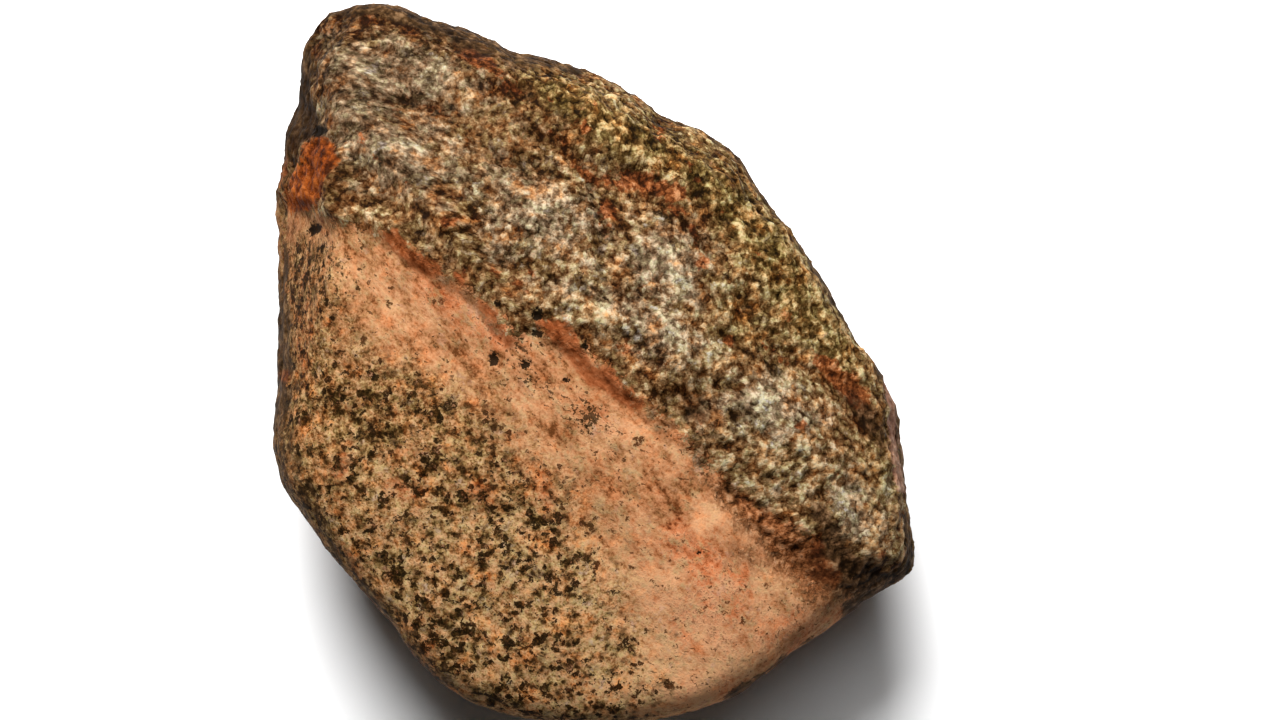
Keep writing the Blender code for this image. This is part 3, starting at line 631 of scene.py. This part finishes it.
# ----------------------------------------------------------------- materials
class Graph:
    """Short names for building a node tree: a number or a socket goes in, a socket comes out."""

    def __init__(self, material):
        material.use_nodes = True
        self.tree = material.node_tree
        self.shader = self.tree.nodes["Principled BSDF"]

    def feed(self, socket, value):
        if isinstance(value, bpy.types.NodeSocket):
            self.tree.links.new(value, socket)
        else:
            socket.default_value = value

    def field(self, name):
        node = self.tree.nodes.new("ShaderNodeAttribute")
        node.attribute_name = name
        return node.outputs["Vector"]

    def split(self, vector):
        node = self.tree.nodes.new("ShaderNodeSeparateXYZ")
        self.feed(node.inputs[0], vector)
        return node.outputs[0], node.outputs[1], node.outputs[2]

    def math(self, kind, a, b=0.0, c=0.0, clamp=False):
        node = self.tree.nodes.new("ShaderNodeMath")
        node.operation, node.use_clamp = kind, clamp
        for socket, value in zip(node.inputs, (a, b, c)):
            self.feed(socket, value)
        return node.outputs[0]

    def add(self, *terms):
        out = terms[0]
        for t in terms[1:]:
            out = self.math("ADD", out, t)
        return out

    def times(self, *terms):
        out = terms[0]
        for t in terms[1:]:
            out = self.math("MULTIPLY", out, t)
        return out

    def scaled(self, a, k, plus=0.0):
        return self.math("MULTIPLY_ADD", a, k, plus)

    def vmath(self, kind, a, b):
        node = self.tree.nodes.new("ShaderNodeVectorMath")
        node.operation = kind
        self.feed(node.inputs[0], a)
        if kind == "SCALE":
            self.feed(node.inputs["Scale"], b)
        else:
            self.feed(node.inputs[1], b)
        return node.outputs[0]

    def step(self, x, low, high):
        node = self.tree.nodes.new("ShaderNodeMapRange")
        node.interpolation_type = "SMOOTHSTEP"
        self.feed(node.inputs["Value"], x)
        self.feed(node.inputs["From Min"], low)
        self.feed(node.inputs["From Max"], high)
        return node.outputs["Result"]

    def noise(self, at, size, detail=2.0, rough=0.5, swirl=0.0, colour=False):
        node = self.tree.nodes.new("ShaderNodeTexNoise")
        self.feed(node.inputs["Vector"], at)
        node.inputs["Scale"].default_value = 1.0 / size
        node.inputs["Detail"].default_value = detail
        node.inputs["Roughness"].default_value = rough
        node.inputs["Distortion"].default_value = swirl
        return node.outputs["Color"] if colour else node.outputs["Fac"]

    def cells(self, at, size):
        node = self.tree.nodes.new("ShaderNodeTexVoronoi")
        self.feed(node.inputs["Vector"], at)
        node.inputs["Scale"].default_value = 1.0 / size
        return node.outputs["Distance"], node.outputs["Color"]

    def ramp(self, x, stops):
        node = self.tree.nodes.new("ShaderNodeValToRGB")
        self.feed(node.inputs[0], x)
        ends = node.color_ramp.elements
        while len(ends) < len(stops):
            ends.new(0.5)
        for end, (at, colour) in zip(ends, stops):
            end.position = at
        for end, (at, colour) in zip(ends, stops):
            end.color = colour
        return node.outputs[0]

    def mix(self, amount, a, b, kind="MIX"):
        node = self.tree.nodes.new("ShaderNodeMix")
        node.data_type, node.blend_type = "RGBA", kind
        self.feed(node.inputs[0], amount)
        self.feed(node.inputs[6], a)
        self.feed(node.inputs[7], b)
        return node.outputs[2]

    def blend(self, amount, a, b):
        node = self.tree.nodes.new("ShaderNodeMix")
        node.data_type = "FLOAT"
        self.feed(node.inputs[0], amount)
        self.feed(node.inputs[2], a)
        self.feed(node.inputs[3], b)
        return node.outputs[0]

    def stretch(self, at, compass, long, tilt=0.0):
        """The pattern space, stretched along one direction of the view."""
        node = self.tree.nodes.new("ShaderNodeMapping")
        node.vector_type = "TEXTURE"
        self.feed(node.inputs["Vector"], at)
        node.inputs["Rotation"].default_value = (0.0, tilt, math.radians(compass))
        node.inputs["Scale"].default_value = (long, 1.0, 1.0)
        return node.outputs[0]


LIT = 0.40    # how the studio light scales a colour on the top face


def tone(r, g, b):
    lin = [((q / 255 + 0.055) / 1.055) ** 2.4 if q > 10 else q / 255 / 12.92 for q in (r, g, b)]
    return tuple(min(q * LIT, 0.92) for q in lin) + (1.0,)


stone_mat = bpy.data.materials.new("stone")
g = Graph(stone_mat)
at = g.field("skin")
side_n, rust_n, pit_shade_n = g.split(g.field("zone_edge"))
painted_light_and_shade_n, red_n, frost_n = g.split(g.field("zone_rough"))
olive_n, streak_n, painted_relief_shade_n = g.split(g.field("zone_grain"))
dens_n, cluster_n, pale_and_lit_n = g.split(g.field("zone_smooth"))
crust_n, pink_n, flank_n = g.split(g.field("zone_skin"))
pinkside_n, low_n, flankrust_n = g.split(g.field("zone_more"))
flecks_n, earth_n, murk_and_shade_n = g.split(g.field("zone_grime_and_shade"))
drift8_n, drift5_n, drift11_n = g.split(g.field("drift"))
blot_n, ochre_n, tint_n = g.split(g.field("blots"))
cloud_n, w1_n, w2_n = g.split(g.field("clouds"))

# shared fields
jit = g.noise(at, 2.4, 2.0, 0.6, colour=True)
bent = g.vmath("ADD", at, g.vmath("SCALE", g.vmath("SUBTRACT", jit, (0.5, 0.5, 0.5)), 3.0))
f3 = g.noise(at, 3.0, 4.0, 0.68)
f8 = g.add(g.scaled(drift8_n, 0.20, 0.375), g.scaled(f3, 0.25))
f5 = g.add(g.scaled(drift5_n, 0.16, 0.30), g.scaled(f3, 0.40))
jit_r, jit_g, jit_b = g.split(jit)
f1 = g.noise(at, 1.1, 2.0, 0.6)
cell_d, cell_c = g.cells(bent, 3.1)
cell_r, cell_g, cell_b = g.split(cell_c)
small_d, small_c = g.cells(bent, 1.35)
small_r, small_g, small_b = g.split(small_c)

# --- rough crystalline face
flow = g.stretch(g.field("swirl"), -14.0, 2.0)
wave = g.noise(flow, 3.4, 4.0, 0.66)
gap = g.step(g.add(cell_d, g.scaled(f1, 0.9, -0.45)), 0.36, 0.66)
grain = g.add(g.scaled(cell_r, 0.36, -0.11), g.scaled(small_g, 0.20, -0.10), g.scaled(gap, -0.16),
              g.scaled(f3, 1.05, -0.525), g.scaled(f1, 0.3, -0.15), g.scaled(f5, 0.95, -0.475))
silky = g.add(g.scaled(wave, 1.5, -0.75), g.scaled(small_g, 0.26, -0.13), g.scaled(f3, 1.2, -0.6))
grain = g.blend(g.times(streak_n, 0.65), grain, silky)
# the painted highlight and shade of crests, hollows and grain relief go into the grains' tone here
value = g.add(grain, 0.49, g.times(painted_light_and_shade_n, 0.22), g.times(painted_relief_shade_n, 0.15),
              g.times(g.scaled(f8, 1.0, -0.5), 0.35))
plain = g.ramp(value, [(0.06, tone(36, 18, 4)), (0.26, tone(82, 50, 22)), (0.50, tone(134, 98, 64)),
                       (0.70, tone(182, 146, 106)), (0.95, tone(232, 206, 168))])
grey = g.ramp(value, [(0.06, tone(36, 23, 10)), (0.26, tone(80, 58, 38)), (0.50, tone(132, 107, 84)),
                      (0.70, tone(184, 158, 130)), (0.95, tone(238, 216, 188))])
green = g.ramp(value, [(0.06, tone(26, 16, 2)), (0.28, tone(66, 46, 14)), (0.52, tone(116, 88, 46)),
                       (0.72, tone(184, 152, 100)), (0.95, tone(240, 214, 162))])
rough_c = g.mix(g.step(g.add(g.times(frost_n, 0.42), f8, g.scaled(cell_b, 0.16)), 0.60, 0.86), plain, grey)
rough_c = g.mix(g.times(olive_n, 0.85), rough_c, green)
tint = g.ramp(g.add(g.scaled(tint_n, 0.22, 0.0), g.scaled(jit_r, 0.55, 0.225),
                    g.scaled(cell_b, 0.08, -0.04)), [
    (0.28, (1.26, 0.84, 0.50, 1.0)), (0.40, (1.10, 0.95, 0.76, 1.0)), (0.51, (1.00, 1.00, 0.94, 1.0)),
    (0.60, (0.92, 1.02, 0.82, 1.0)), (0.72, (0.86, 0.98, 1.20, 1.0))])
rough_c = g.mix(1.0, rough_c, tint, "MULTIPLY")
# rust among the grains
rusty = g.ramp(value, [(0.10, tone(48, 22, 6)), (0.35, tone(104, 50, 20)), (0.58, tone(164, 88, 42)),
                       (0.85, tone(226, 150, 98))])
stain = g.step(g.add(g.times(red_n, 0.62), g.scaled(blot_n, 0.32), g.scaled(jit_g, 0.9, -0.45),
                     g.scaled(cell_g, 0.12, -0.06)), 0.28, 0.54)
rough_c = g.mix(g.times(stain, 0.85), rough_c, rusty)

# --- smooth face: peach band, and tan ground with dark grains
brush = g.stretch(at, -48.0, 2.2)
cloud = g.scaled(cloud_n, 0.21, 0.5)
dapple = g.noise(brush, 2.6, 3.0, 0.6)
shade = g.add(g.scaled(cloud, 1.25, -0.125), g.times(pale_and_lit_n, 0.16), g.scaled(dapple, 0.85, -0.425),
              g.scaled(f1, 0.55, -0.275), g.scaled(f3, 1.1, -0.55))
peach = g.ramp(shade, [(0.18, tone(112, 64, 30)), (0.36, tone(174, 114, 72)),
                       (0.52, tone(212, 147, 102)), (0.80, tone(246, 184, 136))])
rosy = g.ramp(shade, [(0.18, tone(116, 50, 22)), (0.36, tone(188, 106, 62)),
                      (0.52, tone(224, 140, 94)), (0.80, tone(250, 180, 134))])
pinker = g.step(g.add(g.times(pink_n, 0.5), g.scaled(drift11_n, 0.22), g.scaled(jit_g, 0.3, -0.15)), 0.0, 0.5)
peach = g.mix(pinker, peach, rosy)
dusky = g.ramp(shade, [(0.18, tone(92, 64, 32)), (0.36, tone(146, 108, 68)), (0.52, tone(184, 142, 98)),
                       (0.80, tone(226, 180, 132))])
peach = g.mix(g.times(g.step(g.add(f8, g.scaled(dapple, 0.4, -0.2), g.scaled(jit_g, 0.5, -0.25)), 0.50, 0.68), 0.85), peach, dusky)
mottle = g.noise(at, 4.4, 3.0, 0.70)
ground_v = g.add(g.scaled(mottle, 1.6, -0.29), g.scaled(f3, 1.1, -0.55), g.scaled(f1, 0.8, -0.43), g.times(pale_and_lit_n, 0.14),
                 g.scaled(small_b, 0.14, -0.07))
ground = g.ramp(ground_v, [(0.16, tone(84, 48, 18)), (0.40, tone(150, 104, 64)),
                           (0.58, tone(196, 146, 102)), (0.80, tone(234, 184, 138))])
ochre = g.ramp(ground_v, [(0.16, tone(76, 48, 18)), (0.40, tone(144, 106, 64)),
                          (0.58, tone(196, 151, 102)), (0.80, tone(236, 192, 142))])
ground = g.mix(g.step(g.add(g.scaled(ochre_n, 0.19, 0.0), g.scaled(jit_b, 0.9, 0.04)), 0.44, 0.60), ground, ochre)
ground = g.mix(g.times(pinker, 0.7), ground, rosy)
ashy = g.step(f5, 0.58, 0.70)
ground = g.mix(g.times(ashy, 0.50), ground, tone(116, 98, 74))
smooth_c = g.mix(dens_n, peach, ground)
# dark grains in clusters, and small flecks between them
patch = g.add(g.times(cluster_n, 0.24), g.times(dens_n, 0.34), g.scaled(f8, 1.6, -0.80), g.scaled(f1, 0.8, -0.4))
halo = g.step(g.add(patch, g.scaled(f5, 1.6, -0.8), g.scaled(mottle, -1.0, 0.5), g.scaled(f3, 0.8, -0.4)), 0.26, 0.74)
clump = g.step(g.add(cell_g, patch, g.scaled(halo, 0.12), g.scaled(f3, 1.5, -0.75), g.scaled(cell_d, -0.40)), 0.90, 1.06)
blob = g.times(g.times(dens_n, 0.88), g.step(g.add(g.scaled(mottle, -1.0, 0.5), g.scaled(patch, 0.12), g.scaled(f1, 0.50, -0.25),
                                          g.scaled(small_g, 0.10, -0.05)), 0.115, 0.175))
fleck = g.step(g.add(small_g, g.scaled(f3, 1.1, -0.55), g.scaled(small_d, -0.55), g.times(dens_n, 0.20),
                     g.times(cluster_n, 0.08), g.times(flecks_n, 0.40), g.scaled(halo, 0.12)), 0.97, 1.10)
needle = g.noise(g.stretch(bent, -30.0, 2.4), 1.6, 1.0, 0.5)
needle = g.times(g.step(g.add(needle, g.times(flecks_n, 0.07), g.scaled(f5, 0.3, -0.15)), 0.675, 0.735), g.scaled(dens_n, -0.2, 0.85))
dark = g.math("MAXIMUM", g.math("MAXIMUM", clump, g.times(fleck, 0.9)), g.math("MAXIMUM", blob, needle))
dark_c = g.ramp(g.add(g.scaled(f1, 0.9, 0.05), g.scaled(small_g, 0.35, -0.17)),
                [(0.25, tone(12, 7, 0)), (0.50, tone(32, 19, 3)), (0.70, tone(58, 38, 11)),
                 (0.90, tone(100, 70, 32))])
dark_c = g.mix(g.math("ADD", g.scaled(dens_n, -0.6, 0.6), g.times(flecks_n, -0.6), clamp=True), dark_c, tone(116, 70, 38))
smooth_c = g.mix(g.times(halo, 0.60), smooth_c, g.ramp(f1, [(0.30, tone(64, 44, 17)), (0.70, tone(128, 96, 54))]))
smooth_c = g.mix(g.times(dark, 0.97), smooth_c, dark_c)
# small red-brown pores
pore = g.times(g.step(g.add(g.scaled(f1, 0.6), g.scaled(f3, 0.5)), 0.57, 0.66), g.scaled(pinker, 0.55, 0.08))
smooth_c = g.mix(pore, smooth_c, tone(124, 62, 32))
smooth_c = g.mix(g.scaled(dens_n, 0.45, 0.50), smooth_c, tint, "MULTIPLY")

# --- where the rough crust gives way to the smooth face
ragged = g.add(side_n, g.scaled(f8, 3.0, -1.5), g.scaled(f3, 5.0, -2.5),
               g.scaled(g.noise(bent, 1.7, 2.0, 0.6), 1.6, -0.8))
is_rough = g.step(ragged, -0.15, 0.30)
colour = g.mix(is_rough, smooth_c, rough_c)
# rusty brown grime along the scarp
grime = g.step(g.add(g.times(earth_n, 0.62), g.scaled(f3, 1.6, -0.80), g.scaled(f8, 0.9, -0.45)), 0.22, 0.56)
blotch = g.add(g.scaled(f5, 1.2, -0.1), g.scaled(f3, 1.3, -0.65), g.scaled(f1, 0.6, -0.3))
grime_c = g.ramp(g.blend(g.times(is_rough, 0.6), blotch, value), [
    (0.22, tone(50, 24, 7)), (0.42, tone(110, 62, 30)), (0.58, tone(166, 102, 60)), (0.82, tone(214, 150, 104))])
colour = g.mix(g.times(grime, 0.85), colour, grime_c)
# bare rust-red strips
strip = g.step(g.add(rust_n, g.scaled(dapple, 2.2, -1.1)), -0.22, 0.42)
strip_v = g.add(g.scaled(dapple, 1.0), g.scaled(f3, 0.6, -0.3), g.scaled(f1, 0.2, -0.1))
strip_c = g.ramp(strip_v, [(0.28, tone(100, 42, 12)), (0.46, tone(150, 76, 36)),
                           (0.62, tone(182, 102, 58)), (0.80, tone(210, 138, 92))])
colour = g.mix(g.times(strip, 0.92), colour, strip_c)

# --- dark crust on rims and flanks
# crust tone, with a little painted relief shade from the grain relief
skin_v = g.add(g.scaled(g.noise(at, 4.6, 3.0, 0.68), 1.5, -0.25), g.times(painted_relief_shade_n, 0.12),
               g.times(g.scaled(low_n, 1.0, 0.0), 0.02))
crust_c = g.ramp(skin_v, [(0.26, tone(28, 16, 5)), (0.42, tone(56, 37, 17)), (0.58, tone(90, 63, 36)),
                          (0.78, tone(150, 115, 80))])
crust_red = g.ramp(skin_v, [(0.24, tone(52, 24, 10)), (0.44, tone(100, 52, 26)),
                            (0.60, tone(140, 80, 44)), (0.80, tone(186, 124, 80))])
crust_c = g.mix(g.step(g.add(red_n, g.scaled(f8, 0.8, -0.4)), 0.30, 0.75), crust_c, crust_red)
on = g.step(g.add(crust_n, g.scaled(f3, 1.5, -0.75), g.scaled(f8, 0.7, -0.35), g.scaled(small_g, 0.30, -0.15), g.scaled(f1, 0.6, -0.3)),
            0.22, 0.78)
on = g.times(on, g.scaled(low_n, -0.22, 1.0))
colour = g.mix(g.times(on, 0.93), colour, crust_c)
# blackish crust of the lower right corner, and painted shade in the valley at the middle right
murk_and_shade_mask = g.step(g.add(g.times(murk_and_shade_n, 0.7), g.scaled(f3, 1.1, -0.55), g.scaled(f8, 0.5, -0.25)), 0.20, 0.55)
colour = g.mix(g.times(murk_and_shade_mask, 0.9), colour, g.ramp(g.blend(0.5, skin_v, value), [
    (0.24, tone(34, 20, 8)), (0.40, tone(78, 53, 30)), (0.56, tone(122, 86, 57)), (0.78, tone(190, 148, 108))]))
# smooth dark strip, rust patch and pale facet of the flanks
colour = g.mix(g.times(flank_n, 0.9), colour, g.ramp(skin_v, [
    (0.24, tone(30, 17, 6)), (0.50, tone(60, 40, 22)), (0.80, tone(98, 72, 46))]))
orange = g.step(g.add(flankrust_n, g.scaled(f3, 2.4, -1.2), g.scaled(f8, 1.2, -0.6)), -0.30, 0.35)
colour = g.mix(g.times(orange, 0.94), colour, g.ramp(skin_v, [
    (0.26, tone(66, 26, 4)), (0.42, tone(120, 54, 16)), (0.56, tone(166, 80, 26)),
    (0.76, tone(206, 112, 48))]))
facet = g.step(g.add(pinkside_n, g.scaled(f3, 1.6, -0.8), g.scaled(f8, 0.8, -0.4)), 0.34, 0.70)
colour = g.mix(g.times(facet, 0.85), colour, g.ramp(skin_v, [
    (0.24, tone(150, 98, 76)), (0.50, tone(200, 148, 122)), (0.80, tone(226, 186, 160))]))
# pits, painted near black: painted shade in their hollows
pit_shade = g.step(g.add(pit_shade_n, g.scaled(g.noise(bent, 1.9, 2.0, 0.65), 2.4, -1.2)), -0.02, 0.24)
colour = g.mix(g.times(pit_shade, 0.96), colour, tone(24, 15, 6))
g.feed(g.shader.inputs["Base Color"], colour)

# roughness: crystals glint a little, the weathered face is dull
rough_v = g.blend(is_rough, g.scaled(f3, 0.16, 0.72), g.scaled(cell_g, 0.30, 0.52))
rough_v = g.blend(on, rough_v, g.scaled(f3, 0.30, 0.52))
g.feed(g.shader.inputs["Roughness"], g.math("ADD", rough_v, 0.0, clamp=True))
g.shader.inputs["Specular IOR Level"].default_value = 0.02

# height in mm
bump_rough = g.add(g.scaled(cell_d, -0.34, 0.17), g.scaled(small_d, -0.16, 0.08),
                   g.scaled(f3, 1.1, -0.55), g.scaled(f1, 0.35, -0.17), g.scaled(cell_r, 0.16))
bump_rough = g.blend(g.times(streak_n, 0.6), bump_rough,
                     g.add(g.scaled(wave, 1.0, -0.5), g.scaled(f3, 0.5, -0.25)))
bump_smooth = g.add(g.scaled(dapple, 0.50), g.scaled(f1, 0.20), g.times(g.scaled(dens_n, 0.30, 0.25), f3))
height = g.blend(g.step(g.add(side_n, g.scaled(f3, 3.0, -1.5)), -0.2, 0.3), bump_smooth, bump_rough)
height = g.blend(g.step(crust_n, 0.3, 0.7), height, g.add(g.scaled(f3, 0.55), g.scaled(f8, 0.4), g.scaled(f1, 0.10)))
bump = g.tree.nodes.new("ShaderNodeBump")
bump.inputs["Strength"].default_value = 1.0
bump.inputs["Distance"].default_value = 0.001
g.feed(bump.inputs["Height"], height)
g.feed(g.shader.inputs["Normal"], bump.outputs[0])
mesh.materials.append(stone_mat)

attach(stone, "root")
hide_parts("stone")


# ------------------------------------------------------------------ the stage
def in_row(right, upward, z):
    return Vector((math.cos(TURN) * right - math.sin(TURN) * upward,
                   math.sin(TURN) * right + math.cos(TURN) * upward, z))


floor_mesh = bpy.data.meshes.new("floor")
floor_mesh.from_pydata([(-4, -4, 0), (4, -4, 0), (4, 4, 0), (-4, 4, 0)], [], [(0, 1, 2, 3)])
floor = bpy.data.objects.new("floor", floor_mesh)
bpy.context.scene.collection.objects.link(floor)
floor_mat = bpy.data.materials.new("floor")
f = Graph(floor_mat)
f.shader.inputs["Base Color"].default_value = (0.9, 0.9, 0.9, 1)
f.shader.inputs["Roughness"].default_value = 0.9
floor_mesh.materials.append(floor_mat)
floor.location.z = -0.0003

world = bpy.data.worlds.new("studio")
bpy.context.scene.world = world
world.use_nodes = True
world.node_tree.nodes["Background"].inputs["Color"].default_value = (1.0, 1.0, 1.0, 1.0)
world.node_tree.nodes["Background"].inputs["Strength"].default_value = 0.03



def soft_light(name, compass, lift, size, energy):
    a, b = math.radians(compass), math.radians(lift)
    way = in_row(math.cos(a), math.sin(a), 0.0) * math.cos(b) + Vector((0, 0, math.sin(b)))
    lamp = bpy.data.lights.new(name, "AREA")
    lamp.shape, lamp.size, lamp.energy = "DISK", size, energy
    obj = bpy.data.objects.new(name, lamp)
    bpy.context.scene.collection.objects.link(obj)
    obj.location = way * 2.2
    obj.rotation_euler = way.to_track_quat("Z", "Y").to_euler()


soft_light("key", 100.0, 48.0, 1.4, 145.0)
soft_light("overhead", 80.0, 68.0, 1.4, 17.0)

middle = in_row((EYE_U - MID_U) * UNIT, (MID_V - EYE_V) * UNIT, 0.0) - Vector((SHIFT[0], SHIFT[1], 0))
cam = bpy.data.cameras.new("camera")
cam_obj = bpy.data.objects.new("camera", cam)
bpy.context.scene.collection.objects.link(cam_obj)
turn = Matrix((in_row(1, 0, 0), in_row(0, 1, 0), Vector((0, 0, 1)))).transposed().to_4x4()
cam_obj.matrix_world = Matrix.Translation(middle + Vector((0, 0, EYE_HEIGHT))) @ turn
cam.sensor_width = 36.0
cam.lens = 36.0 * (EYE_HEIGHT - PLANE_Z) / (1280 * UNIT)
cam.clip_end = 20.0
bpy.context.scene.camera = cam_obj
bpy.context.scene.view_settings.view_transform = "Standard"
